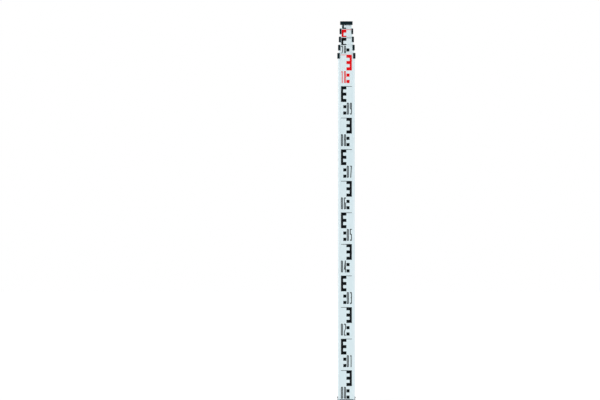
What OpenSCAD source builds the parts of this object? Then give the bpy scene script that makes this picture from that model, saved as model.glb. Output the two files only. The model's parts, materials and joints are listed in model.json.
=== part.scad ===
// Telescopic levelling staff of five nested aluminium tubes, drawn collapsed and standing on its foot.
// X runs across the staff, the front face with the E graduation looks along -Y, and Z is the height.

/* [Tubes] */
// Width of the outermost tube
tube_w = 53; // [50:0.5:60]
// Depth of the outermost tube, front to back
tube_d = 31; // [29:0.5:38]
// Wall of every tube
tube_wall = 1.2; // [1:0.05:1.4]
// Running gap between nested tubes at their sides
side_gap = 1.2; // [0.9:0.05:1.4]
// Running gap between nested tubes at their front and rear
face_gap = 0.3; // [0.3:0.05:0.5]
// Height of the whole staff when it is collapsed
closed_length = 1206; // [900:1:1500]
// Rise from the head of one section to the head of the next
head_rise = 25.9; // [24:0.1:40]
// Rise from the head of the fourth section to the top of the cap
cap_rise = 22.8; // [18:0.1:40]

/* [Extrusion profile] */
// Depth of the printed panels below the rails beside them
panel_depth = 0.7; // [0.3:0.05:0.8]
// Width of the front rails on the outermost tube
front_rail = 6; // [5:0.1:7]
// How much narrower the front rails are on each next tube
front_rail_step = 0.65; // [0.5:0.05:0.9]
// Width of the rear panel, which is the same on every tube
rear_panel_w = 26.1; // [24:0.1:27]
// Width of the dark groove along each edge of the rear panel
groove_w = 1.3; // [0.8:0.05:2]
// Depth of that groove below the panel
groove_depth = 0.4; // [0.2:0.05:0.6]
// Leg of the rear corner chamfer on the outermost tube
rear_chamfer = 6.4; // [5.8:0.1:7]
// How much shorter that leg is on each next tube
rear_chamfer_step = 1.25; // [1.1:0.05:1.3]
// Radius of the front corners
front_corner_r = 1.5; // [1.3:0.1:2.4]

/* [Extended overlap] */
// Length of section 2 left inside section 1 when it is locked out
overlap_2 = 160.5; // [110:0.1:260]
// Length of section 3 left inside section 2 when it is locked out
overlap_3 = 146.4; // [110:0.1:260]
// Length of section 4 left inside section 3 when it is locked out
overlap_4 = 90.3; // [80:0.1:260]
// Length of section 5 left inside section 4 when it is locked out
overlap_5 = 82.2; // [75:0.1:260]

/* [Collars] */
// Height of the collar at the head of a section
collar_h = 18; // [14:0.5:20]
// Wall of the collar outside the tube
collar_wall = 2.4; // [2.2:0.1:3]
// Thickness of the lip that guides the next section
collar_lip = 1.5; // [1:0.1:2.5]
// Running gap between the lip and the next section
lip_gap = 0.35; // [0.3:0.05:0.6]
// Distance from the edge of the front panel to the end of a collar arm
arm_setback = 0.4; // [0.3:0.1:1.2]
// Rounding of the collar's corners
collar_round = 1.6; // [0.5:0.1:2]

/* [Top cap] */
// Height of the top cap
cap_h = 11.5; // [10:0.5:14]
// Wall of the cap outside the tube
cap_wall = 3; // [2.2:0.1:3.5]
// Thickness of the cap over the end of the tube
cap_top = 3; // [2:0.1:4]
// Depth of the cap's spigot inside the tube
cap_spigot = 14; // [10:0.5:25]

/* [Foot] */
// Thickness of the metal base plate
plate_t = 3; // [2:0.5:5]
// Thickness of the floor of the shoe
shoe_floor = 3.5; // [2.5:0.5:6]
// Height of the shoe's side and rear walls above the base plate's sole
shoe_h = 16.4; // [16:0.1:20]
// Wall of the shoe outside the tube
shoe_wall = 1.4; // [1.2:0.1:2]
// Extra thickness of the rim round the top of the shoe
shoe_rim = 1; // [0.5:0.1:1.5]
// Height of that rim
shoe_rim_h = 4; // [2:0.1:4.4]
// Width of the low tab at the front of the shoe
front_tab_w = 43.7; // [36:0.1:46]
// Height of the tab above the base plate's sole
front_tab_h = 7.6; // [7:0.1:12]
// Height of the shoe's spigot above the base plate's sole
spigot_h = 22; // [18:0.5:30]
// Thickness of the rubber buffer on the spigot
buffer_t = 3; // [1.5:0.5:6]

/* [Guide plugs and locks] */
// Height of the guide plug in the foot of each inner section
plug_h = 34; // [30:0.5:50]
// Wall of the plug round its two moulded pockets
plug_wall = 1.6; // [1.2:0.1:2.5]
// Thickness of the plug's flange, which slides in the tube outside
flange_t = 3; // [2:0.5:5]
// Running gap beside the flange
flange_gap = 0.35; // [0.3:0.05:0.6]
// Height of the button's axis above the foot of its plug
button_rise = 17; // [14:0.5:20]
// Diameter of the lock hole near the head of a section
lock_hole_d = 12.5; // [10:0.1:14]
// Radial play of a lock button in the lock hole
lock_play = 0.55; // [0.3:0.05:0.8]
// Radial play of a button in the wall of its own tube
button_play = 0.2; // [0.15:0.05:0.3]
// Height of the button above its flange
button_h = 5.1; // [4.6:0.1:5.5]
// Thickness of the button's flange
button_flange_t = 1.2; // [0.8:0.1:1.5]
// How far the button's flange is wider than the button, on the radius
button_flange_w = 1; // [0.6:0.1:1.4]
// Wall and crown of the hollow button
button_wall = 1.3; // [0.9:0.1:1.6]
// Depth of the button's bore in the plug
button_bore = 8.6; // [8.2:0.1:8.8]
// Wire of the button's spring
spring_wire = 0.7; // [0.4:0.05:0.8]
// Turns of the button's spring
spring_turns = 5; // [3:1:6]

/* [Fasteners] */
// Shank of the small countersunk screws
screw_d = 2.9; // [2.5:0.1:3.2]
// Head of the small countersunk screws
screw_head_d = 5.4; // [4.8:0.1:5.8]
// Length of the screws at the sides of the shoe and the cap
side_screw_l = 8; // [7:0.5:9]
// Shank of the base plate's screws
base_screw_d = 3.9; // [3:0.1:4.5]
// Head of the base plate's screws
base_screw_head_d = 7.4; // [6:0.1:8]
// Length of the base plate's screws
base_screw_l = 15; // [10:0.5:16]
// Distance of a base plate screw from the side of the outermost tube
base_screw_inset = 11.5; // [10.5:0.5:16]
// Diameter of the pins that hold a guide plug
pin_d = 3; // [2.5:0.1:4]
// Length of those pins
pin_l = 7; // [5:0.5:7.5]
// Gap between pieces that are fitted together
fit_gap = 0.1; // [0.05:0.05:0.15]

/* [Hidden] */
LAST = 5;

// How far a cut runs past the face that it opens
past = 1;
// A chamfer whose faces move out by one unit has a leg longer by this much
chamfer_growth = 2 - sqrt(2);
smallest_chamfer = 0.3;
corner_steps = 4;
overlap = [0, 0, overlap_2, overlap_3, overlap_4, overlap_5];

// Half sizes of tube k, outside
function half_w(k) = tube_w / 2 - (k - 1) * (tube_wall + side_gap);
function half_d(k) = tube_d / 2 - (k - 1) * (panel_depth + tube_wall + face_gap);
function chamfer(k) = max(smallest_chamfer, rear_chamfer - (k - 1) * rear_chamfer_step);
function front_panel_half(k) = half_w(k) - front_rail + (k - 1) * front_rail_step;

// The bore of tube k is plain, so that the rails are the thick corners of the extrusion
function bore_half_w(k) = half_w(k) - tube_wall;
function bore_half_d(k) = half_d(k) - panel_depth - tube_wall;
function bore_chamfer(k) = max(smallest_chamfer, chamfer(k) - panel_depth - tube_wall * chamfer_growth);

// Heights in the collapsed staff
sole_z = 0;
floor_z = plate_t + shoe_floor;
stack_z = spigot_h + buffer_t;
function foot_z(k) = stack_z + (k - 2) * plug_h;
function head_z(k) = closed_length - cap_rise - (LAST - 1 - k) * head_rise;
function tube_bottom_z(k) = k == 1 ? floor_z : foot_z(k) + flange_t;
function tube_top_z(k) = k == LAST ? closed_length - cap_top : head_z(k) - collar_lip;
function button_z(k) = foot_z(k) + button_rise;

// Travel of section k out of the one around it, and the lock hole that its button springs into
function travel(k) = head_z(k - 1) - foot_z(k) - overlap[k];
function lock_hole_z(k) = button_z(k + 1) + travel(k + 1);
function collar_screw_z(k) = head_z(k) - (collar_h + collar_lip) / 2;
cap_screw_z = closed_length - cap_h + (cap_h - cap_top) / 2;
foot_screw_z = (floor_z + shoe_h - shoe_rim_h) / 2;
pin_rise = (flange_t + button_rise - lock_hole_d / 2) / 2;
pocket_rise = pin_rise + pin_d / 2 + plug_wall;

// The button, pressed in by the wall of the tube outside
button_r = lock_hole_d / 2 - lock_play;
button_flange_r = button_r + button_flange_w;
button_bore_r = button_flange_r + button_play;
button_round = 0.9;
button_total = button_h + button_flange_t;
cup_r = button_r - button_wall;
cup_depth = button_total - button_wall;
function button_tip_y(k) = half_d(k);
function button_bore_y(k) = bore_half_d(k) - button_bore;
spring_r = cup_r - spring_wire / 2 - 2 * fit_gap;
spring_sides = 6;
spring_steps = 10;

// A quarter of a circle from the angle a, as points
function quarter(x, y, r, a) =
    [for (i = [0:corner_steps]) [x + r * cos(a + 90 * i / corner_steps), y + r * sin(a + 90 * i / corner_steps)]];

// Outline with round front corners and chamfered rear corners
function outline(hw, hd, c, r) = concat(
    quarter(-hw + r, -hd + r, r, 180),
    quarter(hw - r, -hd + r, r, 270),
    [[hw, hd - c], [hw - c, hd], [-hw + c, hd], [-hw, hd - c]]
);

// Outline of tube k without its panels, moved out by grow
function around_tube(k, grow) = outline(
    half_w(k) + grow,
    half_d(k) + grow,
    chamfer(k) + grow * chamfer_growth,
    front_corner_r + grow
);

// Outline of the bore of tube k, moved in by side and face
function inside_tube(k, side, face) = outline(
    bore_half_w(k) - side,
    bore_half_d(k) - face,
    bore_chamfer(k),
    smallest_chamfer
);

// Square centred on x alone, from y upwards
module strip(w, y, h) {
    translate([-w / 2, y]) square([w, h]);
}

// Cross-section of tube k, not yet hollow: rails at the corners, panels front and rear
module tube_solid(k) {
    difference() {
        polygon(around_tube(k, 0));
        strip(2 * front_panel_half(k), -half_d(k) - past, past + panel_depth);
        strip(rear_panel_w, half_d(k) - panel_depth, past + panel_depth);
    }
}

module tube_section(k) {
    difference() {
        tube_solid(k);
        for (side = [-1, 1])
            translate([side * (rear_panel_w - groove_w) / 2, 0])
                strip(groove_w, half_d(k) - panel_depth - groove_depth, groove_depth + past);
        polygon(inside_tube(k, 0, 0));
    }
}

// Places what points along +Z on both sides of the staff, pointing outwards
module on_both_sides(x, z) {
    for (side = [-1, 1])
        translate([side * x, 0, z]) rotate([0, side * 90, 0]) children();
}

// Bore along Y from the middle of the staff out through its rear
module rear_bore(k, r, z) {
    translate([0, 0, z]) rotate([-90, 0, 0]) cylinder(r = r, h = half_d(k) + past, $fn = 64);
}

// Countersunk screw with its head at the origin and its point along -Z
module screw_form(d, head_d, length, grow) {
    head_h = (head_d - d) / 2;
    rotate_extrude($fn = 40) polygon([
        [0, grow > 0 ? past : 0],
        if (grow > 0) [head_d / 2 + grow, past],
        [head_d / 2 + grow, 0],
        [d / 2 + grow, -head_h],
        [d / 2 + grow, -length - grow],
        [0, -length - grow]
    ]);
}

module screw(d, head_d, length) {
    slot_w = d / 4;
    slot_depth = d / 3;
    difference() {
        screw_form(d, head_d, length, 0);
        for (turn = [0, 90])
            rotate([0, 0, turn])
                translate([-d / 2, -slot_w / 2, -slot_depth]) cube([d, slot_w, slot_depth + past]);
    }
}

// Hole for that screw, with its mouth at the origin
module screw_hole(d, head_d, length) {
    screw_form(d, head_d, length, fit_gap);
}

// Rectangle with round corners, centred
module round_rect(w, h, r) {
    square([w - 2 * r, h], center = true);
    square([w, h - 2 * r], center = true);
    for (x = [-1, 1], y = [-1, 1])
        translate([x * (w / 2 - r), y * (h / 2 - r)]) circle(r, $fn = 32);
}

// Prism along Y from y0 to y1 over a shape drawn in X and Z, standing at height z
module seen_from_front(y0, y1, z) {
    translate([0, y1, z]) rotate([90, 0, 0]) linear_extrude(y1 - y0) children();
}

module tube(k) {
    color("gainsboro") difference() {
        translate([0, 0, tube_bottom_z(k)])
            linear_extrude(tube_top_z(k) - tube_bottom_z(k)) tube_section(k);
        if (k < LAST) rear_bore(k, lock_hole_d / 2, lock_hole_z(k));
        if (k > 1) rear_bore(k, button_r + button_play, button_z(k));
        if (k > 1) on_both_sides(half_w(k) + past, foot_z(k) + pin_rise)
            translate([0, 0, -pin_l]) cylinder(d = pin_d + 2 * fit_gap, h = pin_l, $fn = 32);
        if (k < LAST) on_both_sides(half_w(k) + collar_wall, collar_screw_z(k))
            screw_hole(screw_d, screw_head_d, collar_wall + tube_wall);
        if (k == 1) on_both_sides(half_w(k) + shoe_wall, foot_screw_z)
            screw_hole(screw_d, screw_head_d, side_screw_l);
        if (k == LAST) on_both_sides(half_w(k) + cap_wall, cap_screw_z)
            screw_hole(screw_d, screw_head_d, side_screw_l);
    }
}

// Cut that opens the front of a collar and leaves an arm with round corners on each rail
module collar_window(k) {
    outer = half_w(k) + collar_wall;
    arm_end = front_panel_half(k) + arm_setback;
    arm_w = outer - arm_end;
    seen_from_front(-half_d(k) - collar_wall - past, -half_d(k + 1), head_z(k) - collar_h / 2)
        difference() {
            square([2 * (arm_end + collar_round), collar_h + 2 * past], center = true);
            for (side = [-1, 1])
                translate([side * (arm_end + arm_w / 2), 0]) round_rect(arm_w, collar_h, collar_round);
        }
}

// Collar at the head of section k: a band round the tube, with a lip over its end for the next section
module collar(k) {
    outer = half_w(k) + collar_wall;
    color([0.08, 0.08, 0.09]) difference() {
        intersection() {
            translate([0, 0, head_z(k) - collar_h])
                linear_extrude(collar_h) polygon(around_tube(k, collar_wall));
            seen_from_front(-outer, outer, head_z(k) - collar_h / 2)
                round_rect(2 * outer, collar_h, collar_round);
        }
        translate([0, 0, head_z(k) - collar_h - past])
            linear_extrude(collar_h + past - collar_lip) tube_solid(k);
        translate([0, 0, head_z(k) - collar_lip - past])
            linear_extrude(collar_lip + 2 * past) polygon(around_tube(k + 1, lip_gap));
        collar_window(k);
        on_both_sides(outer, collar_screw_z(k))
            screw_hole(screw_d, screw_head_d, collar_wall + tube_wall);
    }
}

module collar_screws(k) {
    color("dimgray") on_both_sides(half_w(k) + collar_wall, collar_screw_z(k))
        screw(screw_d, screw_head_d, collar_wall + tube_wall);
}

// Pockets of the plug of section k, on both sides of the button's bore and open at the top
module plug_pockets(k) {
    inset = fit_gap + plug_wall;
    if (bore_half_d(k) > 2 * inset)
        translate([0, 0, foot_z(k) + pocket_rise])
            linear_extrude(plug_h - pocket_rise + past) difference() {
                polygon(inside_tube(k, inset, inset));
                square([2 * (button_bore_r + plug_wall), tube_d], center = true);
            }
}

// Plug in the foot of section k: its flange slides in the tube outside, its body holds the lock button
module guide_plug(k) {
    color([0.12, 0.12, 0.13]) difference() {
        translate([0, 0, foot_z(k)]) {
            linear_extrude(flange_t) polygon(inside_tube(k - 1, flange_gap, face_gap));
            linear_extrude(plug_h) polygon(inside_tube(k, fit_gap, fit_gap));
        }
        translate([0, button_bore_y(k), button_z(k)]) rotate([-90, 0, 0])
            cylinder(r = button_bore_r, h = button_bore + past, $fn = 64);
        plug_pockets(k);
        on_both_sides(half_w(k) + past, foot_z(k) + pin_rise)
            translate([0, 0, -pin_l - past - fit_gap])
                cylinder(d = pin_d + 2 * fit_gap, h = pin_l + past + fit_gap, $fn = 32);
    }
}

// Hollow pins through both sides of tube k into its guide plug, flush with the tube
module plug_pins(k) {
    color("silver") on_both_sides(half_w(k), foot_z(k) + pin_rise)
        translate([0, 0, -pin_l]) difference() {
            cylinder(d = pin_d, h = pin_l, $fn = 32);
            translate([0, 0, -past]) cylinder(d = pin_d / 2, h = pin_l + 2 * past, $fn = 24);
        }
}

// Hollow lock button of section k, with the flange that keeps it behind the wall of its tube
module lock_button(k) {
    color("silver") translate([0, button_tip_y(k), button_z(k)]) rotate([-90, 0, 0])
        rotate_extrude($fn = 64) polygon(concat(
            [[0, -button_wall], [cup_r, -button_wall], [cup_r, -button_total], [button_flange_r, -button_total]],
            [[button_flange_r, -button_h], [button_r, -button_h]],
            quarter(button_r - button_round, -button_round, button_round, 0),
            [[0, 0]]
        ));
}

// Coil of round wire along +Z
module coil(r, wire, turns, length) {
    steps = turns * spring_steps;
    points = [for (i = [0:steps], j = [0:spring_sides - 1])
        let (a = 360 * turns * i / steps, b = 360 * j / spring_sides, ring_r = r + wire / 2 * cos(b))
        [ring_r * cos(a), ring_r * sin(a), wire / 2 + (length - wire) * i / steps + wire / 2 * sin(b)]];
    walls = [for (i = [0:steps - 1], j = [0:spring_sides - 1], half = [0, 1])
        let (j2 = (j + 1) % spring_sides, low = i * spring_sides, high = low + spring_sides)
        half == 0 ? [low + j, high + j, high + j2] : [low + j, high + j2, low + j2]];
    first = [for (j = [1:spring_sides - 2]) [0, j, j + 1]];
    last = [for (j = [1:spring_sides - 2]) [0, j + 1, j] + steps * spring_sides * [1, 1, 1]];
    polyhedron(points, concat(walls, first, last));
}

// Spring of that button, from the floor of the plug's bore to the crown of the button
module button_spring(k) {
    floor_y = button_bore_y(k) + fit_gap;
    crown_y = button_tip_y(k) - button_wall - fit_gap;
    color("silver") translate([0, floor_y, button_z(k)]) rotate([-90, 0, 0])
        coil(spring_r, spring_wire, spring_turns, crown_y - floor_y);
}

// Boot over the top of the last tube, with a hollow spigot inside it
module top_cap() {
    outer = half_w(LAST) + cap_wall;
    spigot_wall = cap_wall / 2;
    color([0.08, 0.08, 0.09]) difference() {
        union() {
            intersection() {
                translate([0, 0, closed_length - cap_h])
                    linear_extrude(cap_h) polygon(around_tube(LAST, cap_wall));
                seen_from_front(-outer, outer, closed_length - cap_h / 2)
                    round_rect(2 * outer, cap_h, collar_round);
            }
            translate([0, 0, closed_length - cap_top - cap_spigot])
                linear_extrude(cap_spigot + cap_top / 2) polygon(inside_tube(LAST, fit_gap, fit_gap));
        }
        translate([0, 0, closed_length - cap_top - cap_h]) linear_extrude(cap_h) difference() {
            tube_solid(LAST);
            polygon(inside_tube(LAST, fit_gap, fit_gap));
        }
        translate([0, 0, closed_length - cap_top - cap_spigot - past])
            linear_extrude(cap_spigot + past)
                polygon(inside_tube(LAST, fit_gap + 2 * spigot_wall, fit_gap + spigot_wall));
        on_both_sides(outer, cap_screw_z) screw_hole(screw_d, screw_head_d, side_screw_l);
    }
}

module cap_screws() {
    color("dimgray") on_both_sides(half_w(LAST) + cap_wall, cap_screw_z)
        screw(screw_d, screw_head_d, side_screw_l);
}

// Shoe under the outermost tube: a floor, a spigot in the tube, ears at the sides and a low tab in front
module foot_shoe() {
    rim = shoe_wall + shoe_rim;
    deep = half_d(1) + rim + past;
    color([0.1, 0.1, 0.11]) difference() {
        union() {
            translate([0, 0, plate_t]) linear_extrude(shoe_h - plate_t) polygon(around_tube(1, shoe_wall));
            intersection() {
                translate([0, 0, shoe_h - shoe_rim_h]) linear_extrude(shoe_rim_h) polygon(around_tube(1, rim));
                seen_from_front(-deep, deep, shoe_h - shoe_rim_h / 2)
                    round_rect(2 * (half_w(1) + rim), shoe_rim_h, shoe_rim);
            }
            translate([0, 0, plate_t])
                linear_extrude(spigot_h - plate_t) polygon(inside_tube(1, fit_gap, fit_gap));
        }
        translate([0, 0, floor_z]) linear_extrude(shoe_h) difference() {
            tube_solid(1);
            polygon(inside_tube(1, fit_gap, fit_gap));
        }
        for (side = [-1, 1])
            translate([side * (deep + front_tab_w / 2) - deep, -deep, floor_z])
                cube([2 * deep, deep - half_d(1) + 2 * front_corner_r, shoe_h]);
        translate([-front_tab_w / 2 - past, -deep, front_tab_h])
            cube([front_tab_w + 2 * past, deep - half_d(1) + panel_depth, shoe_h]);
        on_both_sides(half_w(1) + shoe_wall, foot_screw_z)
            screw_hole(screw_d, screw_head_d, side_screw_l);
        base_screw_places() screw_hole(base_screw_d, base_screw_head_d, base_screw_l);
    }
}

module foot_screws() {
    color("dimgray") on_both_sides(half_w(1) + shoe_wall, foot_screw_z)
        screw(screw_d, screw_head_d, side_screw_l);
}

// Rubber pad on which the inner sections land
module foot_buffer() {
    color([0.16, 0.15, 0.15]) translate([0, 0, spigot_h])
        linear_extrude(buffer_t) polygon(inside_tube(1, side_gap, face_gap));
}

// Places what points along -Z at the base plate's screws, pointing up into the shoe
module base_screw_places() {
    for (side = [-1, 1])
        translate([side * (half_w(1) - base_screw_inset), 0, sole_z]) rotate([180, 0, 0]) children();
}

module base_plate() {
    color("darkgray") difference() {
        translate([0, 0, sole_z]) linear_extrude(plate_t) polygon(around_tube(1, shoe_wall));
        base_screw_places() screw_hole(base_screw_d, base_screw_head_d, base_screw_l);
    }
}

module base_screws() {
    color("silver") base_screw_places() screw(base_screw_d, base_screw_head_d, base_screw_l);
}

tube(1);  // tube_1
tube(2);  // tube_2
tube(3);  // tube_3
tube(4);  // tube_4
tube(5);  // tube_5
collar(1);  // collar_1
collar(2);  // collar_2
collar(3);  // collar_3
collar(4);  // collar_4
collar_screws(1);  // collar_screws_1
collar_screws(2);  // collar_screws_2
collar_screws(3);  // collar_screws_3
collar_screws(4);  // collar_screws_4
guide_plug(2);  // guide_plug_2
guide_plug(3);  // guide_plug_3
guide_plug(4);  // guide_plug_4
guide_plug(5);  // guide_plug_5
plug_pins(2);  // plug_pins_2
plug_pins(3);  // plug_pins_3
plug_pins(4);  // plug_pins_4
plug_pins(5);  // plug_pins_5
lock_button(2);  // lock_button_2
lock_button(3);  // lock_button_3
lock_button(4);  // lock_button_4
lock_button(5);  // lock_button_5
button_spring(2);  // button_spring_2
button_spring(3);  // button_spring_3
button_spring(4);  // button_spring_4
button_spring(5);  // button_spring_5
top_cap();
cap_screws();
foot_shoe();
foot_buffer();
foot_screws();
base_plate();
base_screws();
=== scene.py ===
# Looks of the levelling staff: coated tubes, printed graduations, moulded and turned fittings
import json
import math
import bmesh
import bpy
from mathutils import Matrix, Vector
from mathutils.geometry import delaunay_2d_cdt

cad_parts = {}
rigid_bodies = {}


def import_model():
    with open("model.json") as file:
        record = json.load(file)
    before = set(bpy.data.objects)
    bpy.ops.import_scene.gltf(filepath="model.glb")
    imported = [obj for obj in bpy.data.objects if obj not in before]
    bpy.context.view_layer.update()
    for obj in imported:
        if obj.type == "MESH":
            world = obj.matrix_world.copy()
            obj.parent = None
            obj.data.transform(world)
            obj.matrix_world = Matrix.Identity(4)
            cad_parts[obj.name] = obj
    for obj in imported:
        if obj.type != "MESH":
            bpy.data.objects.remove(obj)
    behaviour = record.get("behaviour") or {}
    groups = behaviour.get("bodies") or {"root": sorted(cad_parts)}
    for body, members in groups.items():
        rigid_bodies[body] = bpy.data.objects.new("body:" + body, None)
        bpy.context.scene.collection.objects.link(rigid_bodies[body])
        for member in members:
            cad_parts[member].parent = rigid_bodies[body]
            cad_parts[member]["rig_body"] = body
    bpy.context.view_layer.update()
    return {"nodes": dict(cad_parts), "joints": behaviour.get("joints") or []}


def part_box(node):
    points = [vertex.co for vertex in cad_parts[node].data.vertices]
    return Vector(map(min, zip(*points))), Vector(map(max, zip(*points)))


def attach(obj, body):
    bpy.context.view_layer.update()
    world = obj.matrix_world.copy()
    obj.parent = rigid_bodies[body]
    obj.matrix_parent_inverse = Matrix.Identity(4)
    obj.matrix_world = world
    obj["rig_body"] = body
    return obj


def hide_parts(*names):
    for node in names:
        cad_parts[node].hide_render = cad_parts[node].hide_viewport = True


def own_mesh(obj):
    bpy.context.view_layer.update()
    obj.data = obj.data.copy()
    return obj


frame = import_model()
print("frame loaded with", len(frame["nodes"]), "nodes")

mm = 0.001
sections = (1, 2, 3, 4, 5)
scene = bpy.context.scene

# the printed faces of the extrusion, in millimetres
extrusion = {
    "panelDepth": 0.7,          # the printed panels lie this far below the rails
    "cornerReach": 0.75,        # the rail's front, painted lighter than the rest of the extrusion, runs this deep round its corner
    "rearPanelHalf": 13.05,
    "grooveWidth": 1.3,         # groove along each edge of the rear panel, its faces painted dark as shade
    "nearFace": 0.05,           # how close to a plane a face's middle has to be to lie in it
    "facing": 0.9,              # share of a face's normal that makes it face along an axis
    "leaning": 0.5,             # and that lets it still count as part of the rail's front
}


def boxInMillimetres(node):
    low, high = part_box(node)
    return low / mm, high / mm


# places read from the frame once, in millimetres
tubeBox = {k: boxInMillimetres(f"tube_{k}") for k in sections}
buttonBox = {k: boxInMillimetres(f"lock_button_{k}") for k in sections[1:]}
buttonHeight = {k: (low.z + high.z) / 2 for k, (low, high) in buttonBox.items()}
panelFace = {
    "front": {k: low.y + extrusion["panelDepth"] for k, (low, high) in tubeBox.items()},
    "rear": {k: high.y - extrusion["panelDepth"] for k, (low, high) in tubeBox.items()},
}

# how far each section stands above its collapsed place once the staff is fully out
travel = {j["name"]: j["range_m"][1] / mm for j in frame["joints"]}
raised = {1: 0.0}
for k in sections[1:]:
    raised[k] = raised[k - 1] + travel[f"section_{k}_slide"]

holes = {
    "lockRadius": 6.25,         # lock hole that the next section's button springs into
    "buttonRadius": 5.9,        # hole that a section's own button stands in
    "rim": 0.35,                # deburred edge round each hole
    "printMargin": 0.6,         # bare metal left between a hole and the print
}


def rearHoles(k):
    # (height, radius) of the holes in the rear of tube k, for its own button and for the next section's
    found = []
    if k > 1:
        found.append((buttonHeight[k], holes["buttonRadius"]))
    if k < sections[-1]:
        found.append((buttonHeight[k + 1] + travel[f"section_{k + 1}_slide"], holes["lockRadius"]))
    return found


# node helpers


def place(tree, kind, **settings):
    node = tree.nodes.new(kind)
    for key, value in settings.items():
        setattr(node, key, value)
    return node


def link(tree, source, target):
    tree.links.new(source, target)
    return target.node


def newGroup(name, inputs, outputs):
    group = bpy.data.node_groups.new(name, "ShaderNodeTree")
    for label, value in inputs.items():
        socket = group.interface.new_socket(label, in_out="INPUT", socket_type="NodeSocketFloat")
        socket.default_value = value
    for label in outputs:
        group.interface.new_socket(label, in_out="OUTPUT", socket_type="NodeSocketFloat")
    return group, group.nodes.new("NodeGroupInput"), group.nodes.new("NodeGroupOutput")


def useGroup(tree, group, **values):
    node = place(tree, "ShaderNodeGroup", node_tree=group)
    for label, value in values.items():
        node.inputs[label].default_value = value
    return node


def stretchedCoordinates(tree, across, along):
    # object coordinates multiplied by across in X and Y, and by along in Z
    coordinates = place(tree, "ShaderNodeTexCoord")
    factors = place(tree, "ShaderNodeCombineXYZ")
    for axis, socket in zip("XYZ", (across, across, along)):
        link(tree, socket, factors.inputs[axis])
    product = place(tree, "ShaderNodeVectorMath", operation="MULTIPLY")
    link(tree, coordinates.outputs["Object"], product.inputs[0])
    link(tree, factors.outputs["Vector"], product.inputs[1])
    return product.outputs["Vector"]


def contrast(tree, source, low, high, toLow=0.0, toHigh=1.0):
    spread = place(tree, "ShaderNodeMapRange")
    spread.inputs["From Min"].default_value = low
    spread.inputs["From Max"].default_value = high
    spread.inputs["To Min"].default_value = toLow
    spread.inputs["To Max"].default_value = toHigh
    link(tree, source, spread.inputs["Value"])
    return spread.outputs["Result"]


def combine(tree, operation, first, second):
    node = place(tree, "ShaderNodeMath", operation=operation)
    for socket, value in zip(node.inputs, (first, second)):
        if isinstance(value, (int, float)):
            socket.default_value = value
        else:
            link(tree, value, socket)
    return node.outputs["Value"]


def blendColours(tree, mask, colourA, colourB):
    node = place(tree, "ShaderNodeMix", data_type="RGBA")
    link(tree, mask, node.inputs["Factor"])
    for socket, value in ((node.inputs[6], colourA), (node.inputs[7], colourB)):
        if isinstance(value, tuple):
            socket.default_value = (*value, 1)
        else:
            link(tree, value, socket)
    return node.outputs[2]


# effects shared by several finishes


def makeMottle():
    # slow uneven tone, as coats and castings have
    group, source, sink = newGroup("mottle", {"Scale": 20.0, "Along": 20.0}, ["Shade"])
    noise = place(group, "ShaderNodeTexNoise")
    noise.inputs["Scale"].default_value = 1.0
    noise.inputs["Detail"].default_value = 4.0
    where = stretchedCoordinates(group, source.outputs["Scale"], source.outputs["Along"])
    link(group, where, noise.inputs["Vector"])
    link(group, contrast(group, noise.outputs["Fac"], 0.3, 0.7), sink.inputs["Shade"])
    return group


def makeDrawnLines():
    # fine lines along Z, left by the extrusion die or a brush
    group, source, sink = newGroup("drawn lines", {"Across": 3000.0, "Along": 6.0}, ["Height", "Shade"])
    noise = place(group, "ShaderNodeTexNoise")
    noise.inputs["Scale"].default_value = 1.0
    noise.inputs["Detail"].default_value = 3.0
    noise.inputs["Roughness"].default_value = 0.65
    where = stretchedCoordinates(group, source.outputs["Across"], source.outputs["Along"])
    link(group, where, noise.inputs["Vector"])
    link(group, noise.outputs["Fac"], sink.inputs["Height"])
    link(group, contrast(group, noise.outputs["Fac"], 0.35, 0.65), sink.inputs["Shade"])
    return group


def makeGrain():
    # cells and fine noise, for moulded plastic and for the orange peel of a coat
    group, source, sink = newGroup("grain", {"Scale": 2000.0, "Cells": 0.6}, ["Height"])
    where = stretchedCoordinates(group, source.outputs["Scale"], source.outputs["Scale"])
    noise = place(group, "ShaderNodeTexNoise")
    noise.inputs["Scale"].default_value = 1.0
    noise.inputs["Detail"].default_value = 2.0
    cells = place(group, "ShaderNodeTexVoronoi", feature="SMOOTH_F1")
    cells.inputs["Scale"].default_value = 0.7
    link(group, where, noise.inputs["Vector"])
    link(group, where, cells.inputs["Vector"])
    mix = place(group, "ShaderNodeMix", data_type="FLOAT")
    link(group, source.outputs["Cells"], mix.inputs["Factor"])
    link(group, noise.outputs["Fac"], mix.inputs["A"])
    link(group, cells.outputs["Distance"], mix.inputs["B"])
    link(group, mix.outputs["Result"], sink.inputs["Height"])
    return group


def makeEdgeRub():
    # mask of the edges, broken up: rubbed wear on metal, and on moulded plastic partly wear and partly a
    # painted highlight
    group, source, sink = newGroup("edge wear and highlight", {"Radius": 0.0005, "Breakup": 400.0}, ["Mask"])
    rounded = place(group, "ShaderNodeBevel", samples=6)
    link(group, source.outputs["Radius"], rounded.inputs["Radius"])
    true = place(group, "ShaderNodeNewGeometry")
    turn = place(group, "ShaderNodeVectorMath", operation="DOT_PRODUCT")
    link(group, rounded.outputs["Normal"], turn.inputs[0])
    link(group, true.outputs["Normal"], turn.inputs[1])
    # from where the rounded normal begins to turn to where the edge is fully worn and highlit, as cosines
    edge = contrast(group, turn.outputs["Value"], 0.995, 0.86)
    where = stretchedCoordinates(group, source.outputs["Breakup"], source.outputs["Breakup"])
    noise = place(group, "ShaderNodeTexNoise")
    noise.inputs["Scale"].default_value = 1.0
    noise.inputs["Detail"].default_value = 5.0
    link(group, where, noise.inputs["Vector"])
    broken = contrast(group, noise.outputs["Fac"], 0.4, 0.6)
    link(group, combine(group, "MULTIPLY", edge, broken), sink.inputs["Mask"])
    return group


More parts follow.
